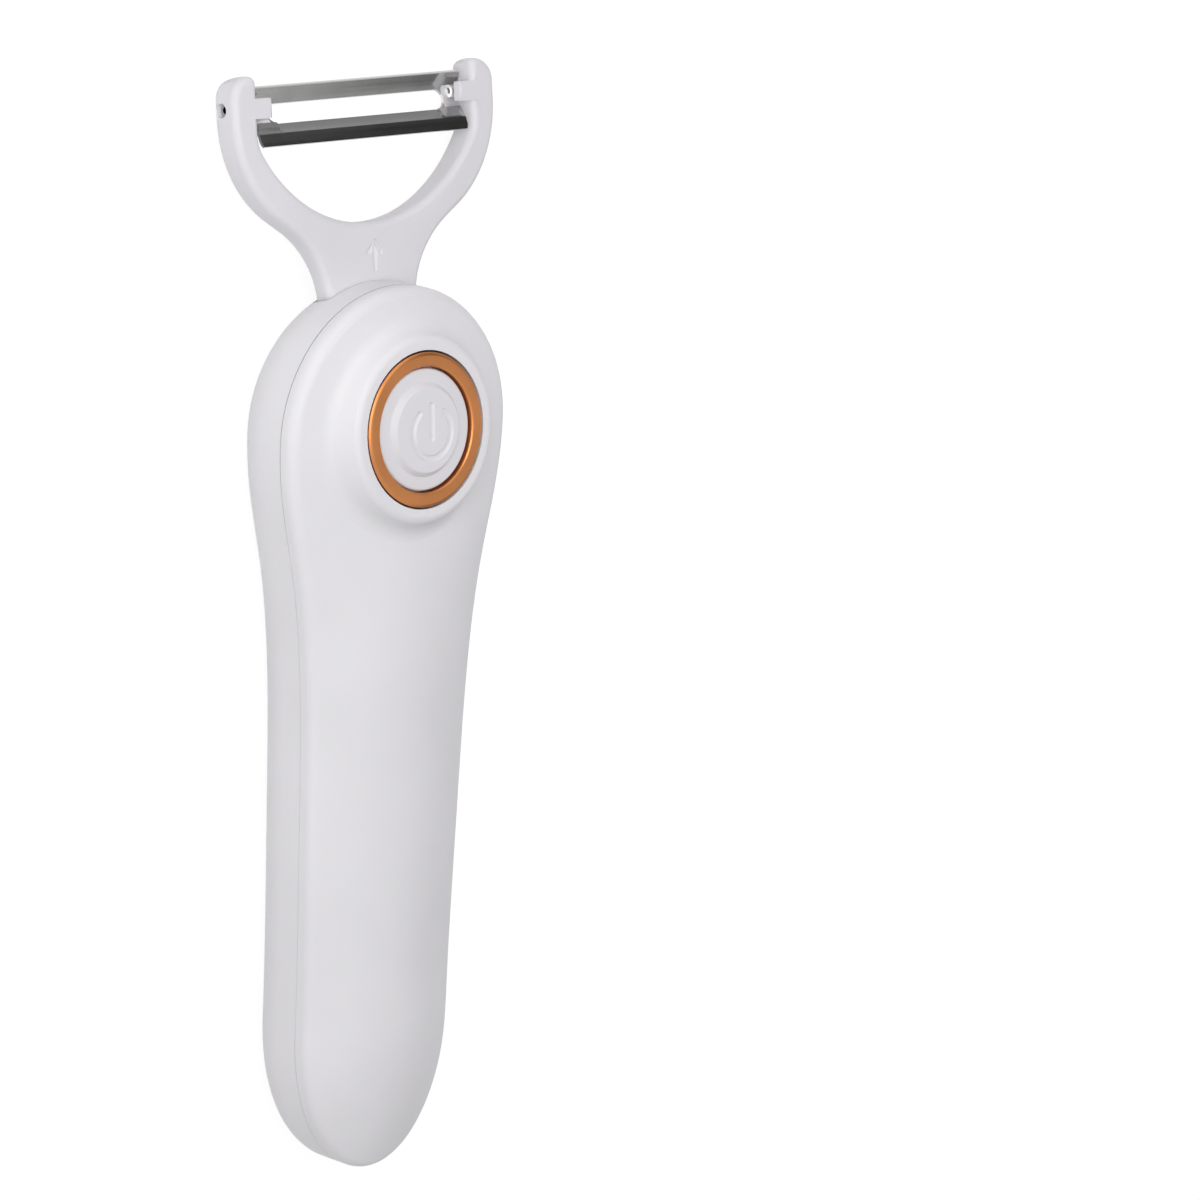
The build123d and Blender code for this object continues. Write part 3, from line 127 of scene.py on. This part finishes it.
# ---- floor and world ----
WORLD_STRENGTH = 0.46
WORLD_TINT = (0.985, 0.98, 1.0, 1)
FLOOR_HALF = 3.0
FLOOR_DROP = 0.1 * MM       # keeps the floor clear of the handle's flat back
FLOOR_TONE = 0.8
FLOOR_GLOW = 0.9            # as the camera sees it, with the light below on top
FLOOR_LIT = 0.18

world = bpy.data.worlds.new("studio")
scene.world = world
world.use_nodes = True
world_nodes = world.node_tree.nodes
world_nodes.clear()
ambient = world_nodes.new("ShaderNodeBackground")
ambient.inputs["Color"].default_value = WORLD_TINT
ambient.inputs["Strength"].default_value = WORLD_STRENGTH
backdrop = world_nodes.new("ShaderNodeBackground")
backdrop.inputs["Color"].default_value = grey(1)
backdrop.inputs["Strength"].default_value = 1.0
world_mix = world_nodes.new("ShaderNodeMixShader")
world_out = world_nodes.new("ShaderNodeOutputWorld")
link(world_nodes, seen_directly(world_nodes), world_mix.inputs[0])
link(world_nodes, ambient.outputs[0], world_mix.inputs[1])
link(world_nodes, backdrop.outputs[0], world_mix.inputs[2])
link(world_nodes, world_mix.outputs[0], world_out.inputs["Surface"])

floor_mesh = bpy.data.meshes.new("floor")
corners = [(x * FLOOR_HALF, y * FLOOR_HALF, -FLOOR_DROP) for x, y in ((-1, -1), (1, -1), (1, 1), (-1, 1))]
floor_mesh.from_pydata(corners, [], [(0, 1, 2, 3)])
floor = bpy.data.objects.new("floor", floor_mesh)
bpy.context.collection.objects.link(floor)
floor_material = bpy.data.materials.new("floor")
floor_material.use_nodes = True
floor_nodes = floor_material.node_tree.nodes
floor_nodes.clear()
ground = floor_nodes.new("ShaderNodeBsdfDiffuse")
ground.inputs["Color"].default_value = grey(FLOOR_TONE)
lit = floor_nodes.new("ShaderNodeBsdfDiffuse")
lit.inputs["Color"].default_value = grey(FLOOR_LIT)
glow = floor_nodes.new("ShaderNodeEmission")
glow.inputs["Color"].default_value = grey(1)
glow.inputs["Strength"].default_value = FLOOR_GLOW
bright = floor_nodes.new("ShaderNodeAddShader")
floor_mix = floor_nodes.new("ShaderNodeMixShader")
floor_out = floor_nodes.new("ShaderNodeOutputMaterial")
link(floor_nodes, lit.outputs[0], bright.inputs[0])
link(floor_nodes, glow.outputs[0], bright.inputs[1])
link(floor_nodes, seen_directly(floor_nodes), floor_mix.inputs[0])
link(floor_nodes, ground.outputs[0], floor_mix.inputs[1])
link(floor_nodes, bright.outputs[0], floor_mix.inputs[2])
link(floor_nodes, floor_mix.outputs[0], floor_out.inputs["Surface"])
floor_mesh.materials.append(floor_material)


# ---- lamps, and dark cards that polished metal mirrors ----
def lamp(name, place, size, power, colour=(1, 1, 1)):
    """A soft square lamp that faces the object. place is its way from AIM, in metres."""
    light = bpy.data.lights.new(name, "AREA")
    light.shape = "SQUARE"
    light.size = size
    light.energy = power
    light.color = colour
    holder = bpy.data.objects.new(name, light)
    bpy.context.collection.objects.link(holder)
    holder.location = AIM + place
    holder.rotation_mode = "QUATERNION"
    holder.rotation_quaternion = place.to_track_quat("Z", "Y")


lamp("key_lamp", Vector((-0.25, 0.2, 0.38)), size=0.38, power=1.21)
lamp("left_lamp", Vector((-0.9, -0.05, 0.25)), size=0.5, power=1.05)
lamp("fill_lamp", Vector((0.35, 0.9, 0.8)), size=0.8, power=1.6, colour=(0.97, 0.95, 1.0))


def flag(name, place, half_width, half_height, strength):
    """A dark card that faces the origin and that only glossy rays see. place is in metres."""
    side = Vector((0, 0, 1)).cross(place).normalized() * half_width
    rise = place.cross(side).normalized() * half_height
    outline = [place - side - rise, place + side - rise, place + side + rise, place - side + rise]
    mesh = bpy.data.meshes.new(name)
    mesh.from_pydata(outline, [], [(0, 1, 2, 3)])
    card = bpy.data.objects.new(name, mesh)
    bpy.context.collection.objects.link(card)
    material = bpy.data.materials.new(name)
    material.use_nodes = True
    nodes = material.node_tree.nodes
    nodes.clear()
    dark = nodes.new("ShaderNodeEmission")
    dark.inputs["Strength"].default_value = strength
    out = nodes.new("ShaderNodeOutputMaterial")
    link(nodes, dark.outputs[0], out.inputs["Surface"])
    mesh.materials.append(material)
    card.visible_camera = False
    card.visible_diffuse = False
    card.visible_shadow = False
    card.visible_transmission = False


flag("flag_head", Vector((0.58, 0.37, 0.44)), half_width=0.31, half_height=0.30, strength=0.035)
flag("flag_tail", Vector((0.62, -0.42, 0.30)), half_width=0.28, half_height=0.22, strength=0.17)


# ---- planes of the button, the head and the blade, as in the CAD ----
def tilted(y, z, degrees):
    """A frame whose X is the CAD's X and whose Z leans towards the head. y and z are in millimetres."""
    lean = radians(degrees)
    axes = Matrix(((1, 0, 0), (0, cos(lean), -sin(lean)), (0, sin(lean), cos(lean)))).transposed()
    return Matrix.Translation(Vector((0, y, z)) * MM) @ axes.to_4x4()


BUTTON_PLANE = tilted(34.6585, 22.2, 4.6)
HEAD_PLANE = tilted(43.0585, 8.65, 7.45)
BLADE_PLANE = tilted(85.803, 2.355, 21.45)


# ---- materials ----
class Finish:
    """A node material for one of the record's material slots, built on a Principled BSDF."""

    def __init__(self, name, colour, roughness, metallic=0.0):
        self.slot = name
        self.material = bpy.data.materials.new(name)
        self.material.use_nodes = True
        self.nodes = self.material.node_tree.nodes
        self.shader = next(n for n in self.nodes if n.type == "BSDF_PRINCIPLED")
        self.shader.inputs["Base Color"].default_value = (*colour, 1)
        self.shader.inputs["Roughness"].default_value = roughness
        self.shader.inputs["Metallic"].default_value = metallic
        self.place = self.nodes.new("ShaderNodeTexCoord").outputs["Object"]
        self.normal = None

    def set(self, **values):
        for key, value in values.items():
            self.shader.inputs[key.replace("_", " ")].default_value = value

    def noise(self, scale, detail=3.0, stretch=(1, 1, 1)):
        """Noise in object space: scale in features per metre, times each axis's own factor."""
        mapping = self.nodes.new("ShaderNodeMapping")
        mapping.inputs["Scale"].default_value = stretch
        link(self.nodes, self.place, mapping.inputs["Vector"])
        texture = self.nodes.new("ShaderNodeTexNoise")
        texture.inputs["Scale"].default_value = scale
        texture.inputs["Detail"].default_value = detail
        link(self.nodes, mapping.outputs[0], texture.inputs["Vector"])
        return texture.outputs["Fac"]

    def blend(self, value, first, second, start=0.35, end=0.65):
        """A colour between first and second as value goes from start to end."""
        ramp = self.nodes.new("ShaderNodeValToRGB")
        ramp.color_ramp.elements[0].position = start
        ramp.color_ramp.elements[0].color = (*first, 1)
        ramp.color_ramp.elements[1].position = end
        ramp.color_ramp.elements[1].color = (*second, 1)
        link(self.nodes, value, ramp.inputs["Fac"])
        return ramp.outputs["Color"]

    def colour(self, socket):
        link(self.nodes, socket, self.shader.inputs["Base Color"])

    def roughness(self, value, low, high, start=0.3, end=0.7):
        link(self.nodes, ranged(self.nodes, value, start, end, low, high), self.shader.inputs["Roughness"])

    def bump(self, height, depth, strength=1.0):
        """Relief of that depth in metres from a height between 0 and 1, over any earlier relief."""
        node = self.nodes.new("ShaderNodeBump")
        node.inputs["Strength"].default_value = strength
        node.inputs["Distance"].default_value = depth
        link(self.nodes, height, node.inputs["Height"])
        if self.normal is not None:
            link(self.nodes, self.normal, node.inputs["Normal"])
        self.normal = node.outputs["Normal"]
        link(self.nodes, self.normal, self.shader.inputs["Normal"])

    def over(self, share, key, value):
        """Puts a constant over what already feeds the input named key, by a share from 0 to 1."""
        mix = self.nodes.new("ShaderNodeMixRGB")
        mix.inputs[2].default_value = (*value, 1)
        link(self.nodes, share, mix.inputs[0])
        link(self.nodes, self.shader.inputs[key].links[0].from_socket, mix.inputs[1])
        link(self.nodes, mix.outputs[0], self.shader.inputs[key])

    def from_origin(self, plane):
        return vector_maths(self.nodes, "SUBTRACT", self.place, plane.translation).outputs["Vector"]

    def shaded_groove(self, height, half, colour, fade, faintest):
        """Shade gathered in a groove that runs round the object, from height - half to height + half.
        It is at its faintest below the first y of fade and full above the second."""
        apart = self.nodes.new("ShaderNodeSeparateXYZ")
        link(self.nodes, self.place, apart.inputs[0])
        inside = maths(self.nodes, "COMPARE", apart.outputs["Z"], height, half)
        depth = ranged(self.nodes, apart.outputs["Y"], *fade, faintest, 1.0)
        self.over(maths(self.nodes, "MULTIPLY", inside, depth), "Base Color", colour)

    def shaded_beyond(self, plane, radius, colour):
        """Shade gathered in the gap round a disc, further than radius from the plane's axis."""
        axis = plane.col[2].xyz
        across = vector_maths(self.nodes, "CROSS_PRODUCT", self.from_origin(plane), axis).outputs["Vector"]
        distance = vector_maths(self.nodes, "LENGTH", across).outputs["Value"]
        self.over(maths(self.nodes, "GREATER_THAN", distance, radius), "Base Color", colour)

    def satin_band_with_painted_light(self, plane, low, high, half_length, colour, roughness, middle=0.0):
        """A band of satin roughness on a polished blade, whose colour is painted light (painted reflections and
        highlights), from low to high up the plane's Y, round middle on its X.
        """
        start = self.from_origin(plane)
        masks = []
        for axis, centre, half in ((1, (low + high) / 2, (high - low) / 2), (0, middle, half_length)):
            along = vector_maths(self.nodes, "DOT_PRODUCT", start, plane.col[axis].xyz).outputs["Value"]
            masks.append(maths(self.nodes, "COMPARE", along, centre, half))
        both = maths(self.nodes, "MULTIPLY", *masks)
        self.over(both, "Base Color", colour)
        self.over(both, "Roughness", (roughness,) * 3)


def shades(colour, tone):
    """The colour made darker and lighter by the share tone."""
    return tuple(c * (1 - tone) for c in colour), tuple(min(1.0, c * (1 + tone)) for c in colour)


def moulded(name, colour, roughness, grain=2600, depth=0.000004, tone=0.02):
    """Injection-moulded plastic: fine grain, a slow drift in tone and gloss, and faint rubbed streaks."""
    made = Finish(name, colour, roughness)
    made.colour(made.blend(made.noise(38, 2.0), *shades(colour, tone)))
    made.roughness(made.noise(160, 4.0, (1, 0.35, 1)), roughness - 0.05, roughness + 0.06)
    made.bump(made.noise(grain, 2.0), depth)
    made.bump(made.noise(55, 1.0), depth * 3, 0.5)
    made.set(Specular_IOR_Level=0.4)
    return made


def metal(name, colour, roughness, stretch=(1, 1, 1), lines=4000, depth=0.000003, tone=0.06):
    """Drawn, rolled or brushed metal: fine lines along the axis with the small stretch, and a drift in tone."""
    made = Finish(name, colour, roughness, 1.0)
    made.colour(made.blend(made.noise(120, 4.0), *shades(colour, tone)))
    made.roughness(made.noise(500, 3.0, stretch), roughness - 0.06, roughness + 0.08)
    made.bump(made.noise(lines, 2.0, stretch), depth)
    return made


def laminate(name):
    """Green solder mask with copper tracks under it."""
    made = Finish(name, (0.012, 0.12, 0.045), 0.32)
    tracks = made.nodes.new("ShaderNodeTexBrick")
    tracks.inputs["Scale"].default_value = 420
    tracks.inputs["Mortar Size"].default_value = 0.035
    tracks.inputs["Color1"].default_value = (0.010, 0.105, 0.040, 1)
    tracks.inputs["Color2"].default_value = (0.014, 0.135, 0.052, 1)
    tracks.inputs["Mortar"].default_value = (0.035, 0.22, 0.085, 1)
    link(made.nodes, made.place, tracks.inputs["Vector"])
    made.colour(tracks.outputs["Color"])
    made.roughness(made.noise(300, 3.0), 0.26, 0.38)
    made.bump(tracks.outputs["Fac"], 0.00003, 0.6)
    return made


def shrink_sleeve(name):
    """The sleeve of a cell: glossy film with long faint pleats."""
    made = Finish(name, (0.05, 0.16, 0.34), 0.25)
    made.colour(made.blend(made.noise(60, 3.0, (1, 0.2, 1)), (0.042, 0.14, 0.31), (0.058, 0.18, 0.37)))
    made.roughness(made.noise(220, 4.0), 0.2, 0.34)
    made.bump(made.noise(140, 2.0, (1, 0.1, 1)), 0.00004, 0.6)
    return made


finishes = {
    made.slot: made
    for made in (
        moulded("shell_white", (0.78, 0.769, 0.787), 0.5),
        moulded("button_white", (0.735, 0.725, 0.75), 0.5, grain=3200),
        moulded("head_white", (0.735, 0.723, 0.75), 0.5, grain=1900, depth=0.000006),
        moulded("end_cap_white", (0.74, 0.73, 0.69), 0.5, grain=2200),
        moulded("nylon_grey", (0.42, 0.43, 0.44), 0.5, grain=2000, tone=0.05),
        moulded("plunger_grey", (0.30, 0.30, 0.31), 0.45, tone=0.05),
        moulded("switch_black", (0.018, 0.018, 0.02), 0.38, tone=0.12),
        moulded("silicone_grey", (0.36, 0.37, 0.38), 0.62, grain=1500, depth=0.00001),
        moulded("foam_black", (0.022, 0.022, 0.024), 0.85, grain=900, depth=0.00012, tone=0.2),
        metal("ring_copper", (0.55, 0.215, 0.068), 0.4, lines=5000),
        metal("blade_steel", (0.50, 0.50, 0.495), 0.15, (0.02, 1, 1), lines=5200, depth=0.000001),
        metal("screw_steel", (0.55, 0.55, 0.56), 0.33),
        metal("motor_steel", (0.52, 0.53, 0.54), 0.3, (1, 0.03, 1)),
        metal("shaft_steel", (0.58, 0.58, 0.59), 0.2, (1, 0.05, 1)),
        metal("port_steel", (0.60, 0.60, 0.61), 0.22, (0.05, 1, 0.05)),
        metal("nickel_strip", (0.62, 0.59, 0.53), 0.3, (0.04, 1, 1)),
        metal("contact_brass", (0.72, 0.50, 0.20), 0.3),
        metal("weight_metal", (0.30, 0.29, 0.28), 0.45, lines=2500, depth=0.00001),
        laminate("board_green"),
        shrink_sleeve("cell_wrap"),
    )
}

# painted shade in the joint of the two casing halves, fading out towards the tail
PARTING_Z = 13.8 * MM
SEAM_HALF = 0.1 * MM
SEAM_FADE = (14 * MM, 50 * MM)
SEAM_FAINTEST = 0.2
finishes["shell_white"].set(Subsurface_Weight=0.03, Subsurface_Scale=0.002)
finishes["shell_white"].shaded_groove(
    PARTING_Z - SEAM_HALF, SEAM_HALF, (0.33, 0.32, 0.32), SEAM_FADE, SEAM_FAINTEST
)
finishes["head_white"].set(Subsurface_Weight=0.04, Subsurface_Scale=0.002)

# the gap between the ring and its seat, and painted shade round the ring's outer edge
RING_SEAT = 12.9
RING_GAP = 0.12
RING_OUTER = RING_SEAT - RING_GAP
RING_SHADE = 0.17
finishes["ring_copper"].set(Coat_Weight=0.3, Coat_Roughness=0.22)
finishes["ring_copper"].shaded_beyond(BUTTON_PLANE, (RING_OUTER - RING_SHADE) * MM, (0.16, 0.04, 0.02))

# painted light on the blade over a satin roughness: a darker painted reflection on its ground bevel, a painted
# highlight along the edge of its guard, and painted reflections on the plates at its ends, in millimetres from
# the pivot
BEVEL_SPAN = (-4.55, -2.2)
BEVEL_HALF = 17.6
GUARD_SPAN = (2.72, 3.4)
GUARD_HALF = 22.9
PLATE_SPAN = (-2.6, 0.9)
PLATE_HALF = 2.1
PLATE_MIDDLE = 21.4
for span, half, colour, gloss, middle in (
    # satin ground bevel, with a darker painted reflection
    (BEVEL_SPAN, BEVEL_HALF, (0.30, 0.30, 0.295), 0.42, 0.0),
    # painted highlight along the guard's edge
    (GUARD_SPAN, GUARD_HALF, (0.62, 0.62, 0.61), 0.5, 0.0),
    # painted reflections on the two end plates
    (PLATE_SPAN, PLATE_HALF, (0.8, 0.79, 0.8), 0.45, -PLATE_MIDDLE),
    (PLATE_SPAN, PLATE_HALF, (0.8, 0.79, 0.8), 0.45, PLATE_MIDDLE),
):
    finishes["blade_steel"].satin_band_with_painted_light(
        BLADE_PLANE, span[0] * MM, span[1] * MM, half * MM, colour, gloss, middle * MM
    )

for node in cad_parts.values():
    for place in node.material_slots:
        place.material = finishes[place.material.name.split(".")[0]].material


def add_object(name, mesh):
    made = bpy.data.objects.new(name, mesh)
    bpy.context.collection.objects.link(made)
    return made


# ---- the ring, turned with a round outer shoulder and a bevelled inner edge, in millimetres ----
RING_INNER = 10.25
RING_TOP = 0.25
RING_BOTTOM = -2.05
RING_BEVEL = 0.22
RING_SHOULDER = 0.8
SHOULDER_STEPS = 8
RING_CORNER = 0.04
CORNER_STEPS = 4
RING_STEPS = 192


def rounded(points, radius, steps):
    """The closed outline points with each corner replaced by a short round of that setback."""
    made = []
    for k, corner in enumerate(points):
        corner = Vector(corner)
        before = (Vector(points[k - 1]) - corner).normalized() * radius
        after = (Vector(points[(k + 1) % len(points)]) - corner).normalized() * radius
        for step in range(steps + 1):
            t = step / steps
            made.append(corner + before * (1 - t) ** 2 + after * t ** 2)
    return made


shoulder = [
    (RING_OUTER - RING_SHOULDER * (1 - sin(t)), RING_TOP - RING_SHOULDER * (1 - cos(t)))
    for t in (pi / 2 * k / SHOULDER_STEPS for k in range(SHOULDER_STEPS + 1))
]
inner_edge = [(RING_INNER, RING_BOTTOM), (RING_INNER, RING_TOP - RING_BEVEL), (RING_INNER + RING_BEVEL, RING_TOP)]
ring_outline = rounded(inner_edge + shoulder + [(RING_OUTER, RING_BOTTOM)], RING_CORNER, CORNER_STEPS)
ring = bmesh.new()
loops = []
for k in range(RING_STEPS):
    angle = 2 * pi * k / RING_STEPS
    loops.append([ring.verts.new(Vector((r * cos(angle), r * sin(angle), z)) * MM) for r, z in ring_outline])
for first, second in zip(loops, loops[1:] + loops[:1]):
    for k in range(len(ring_outline)):
        nxt = (k + 1) % len(ring_outline)
        ring.faces.new((first[k], second[k], second[nxt], first[nxt])).smooth = True
bmesh.ops.recalc_face_normals(ring, faces=ring.faces)
ring.transform(BUTTON_PLANE)
ring_mesh = bpy.data.meshes.new("turned_ring")
ring.to_mesh(ring_mesh)
ring.free()
ring_mesh.materials.append(finishes["ring_copper"].material)
turned_ring = add_object("turned_ring", ring_mesh)
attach(turned_ring, "handle")
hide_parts("accent_ring")

# ---- engraved power symbol and arrow, in millimetres ----
CUT_ABOVE = 0.3
END_STEPS = 12


def groove(name, plane, path, surface, half, depth, slope):
    """A hidden cutter along path, its ends round, wider at the surface than at the bottom by slope."""
    cutter = bmesh.new()
    ahead = [(Vector(b) - Vector(a)).normalized() for a, b in zip(path, path[1:])]
    along = [ahead[0]] + [(a + b).normalized() for a, b in zip(ahead, ahead[1:])] + [ahead[-1]]
    sides = [Vector((-d.y, d.x)) for d in along]
    turns = [pi * k / END_STEPS for k in range(1, END_STEPS)]
    rings = []
    for level, width in ((surface - depth, half - slope), (surface, half), (surface + CUT_ABOVE, half + slope)):
        outline = [Vector(p) + n * width for p, n in zip(path, sides)]
        outline += [Vector(path[-1]) + (sides[-1] * cos(t) + along[-1] * sin(t)) * width for t in turns]
        outline += [Vector(p) - n * width for p, n in reversed(list(zip(path, sides)))]
        outline += [Vector(path[0]) - (sides[0] * cos(t) + along[0] * sin(t)) * width for t in turns]
        rings.append([cutter.verts.new(Vector((p.x, p.y, level)) * MM) for p in outline])
    for low, high in zip(rings, rings[1:]):
        for k in range(len(low)):
            nxt = (k + 1) % len(low)
            cutter.faces.new((low[k], low[nxt], high[nxt], high[k]))
    cutter.faces.new(rings[0])
    cutter.faces.new(rings[-1])
    bmesh.ops.recalc_face_normals(cutter, faces=cutter.faces)
    cutter.transform(plane)
    mesh = bpy.data.meshes.new(name)
    cutter.to_mesh(mesh)
    cutter.free()
    made = add_object(name, mesh)
    made.hide_render = True
    made.hide_viewport = True
    return made


def engrave(node, plane, surface, paths, **shape):
    """Cuts a groove along each named path out of a CAD node, by modifiers."""
    for name, path in paths.items():
        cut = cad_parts[node].modifiers.new(name, "BOOLEAN")
        cut.operation = "DIFFERENCE"
        cut.solver = "EXACT"
        cut.object = groove(name, plane, path, surface, **shape)


SYMBOL_CENTRE = Vector((0.9, -0.5))
SYMBOL_RADIUS = 4.2
SYMBOL_OPENING = 41         # degrees, to each side of the bar
ARC_STEPS = 60
BAR_TOP = Vector((0, 4.4))
BAR_FOOT = Vector((0, -1.0))
DISC_TOP = 0.6
arc = []
for k in range(ARC_STEPS + 1):
    angle = radians(90 + SYMBOL_OPENING + (360 - 2 * SYMBOL_OPENING) * k / ARC_STEPS)
    arc.append(SYMBOL_CENTRE + SYMBOL_RADIUS * Vector((cos(angle), sin(angle))))
symbol = {"symbol_arc": arc, "symbol_bar": [SYMBOL_CENTRE + BAR_TOP, SYMBOL_CENTRE + BAR_FOOT]}
engrave("power_button", BUTTON_PLANE, DISC_TOP, symbol, half=0.6, depth=0.3, slope=0.36)

NECK_FRONT = 1.95
ARROW_TIP = Vector((0.35, 20.1))
ARROW_FOOT = ARROW_TIP + Vector((0, -4.4))
SHAFT_TOP = ARROW_TIP + Vector((0, -0.8))
BARB_LEFT = ARROW_TIP + Vector((-1.35, -1.6))
BARB_RIGHT = ARROW_TIP + Vector((1.35, -1.6))
arrow = {"arrow_barbs": [BARB_LEFT, ARROW_TIP, BARB_RIGHT], "arrow_shaft": [SHAFT_TOP, ARROW_FOOT]}
engrave("head_yoke", HEAD_PLANE, NECK_FRONT, arrow, half=0.42, depth=0.16, slope=0.26)
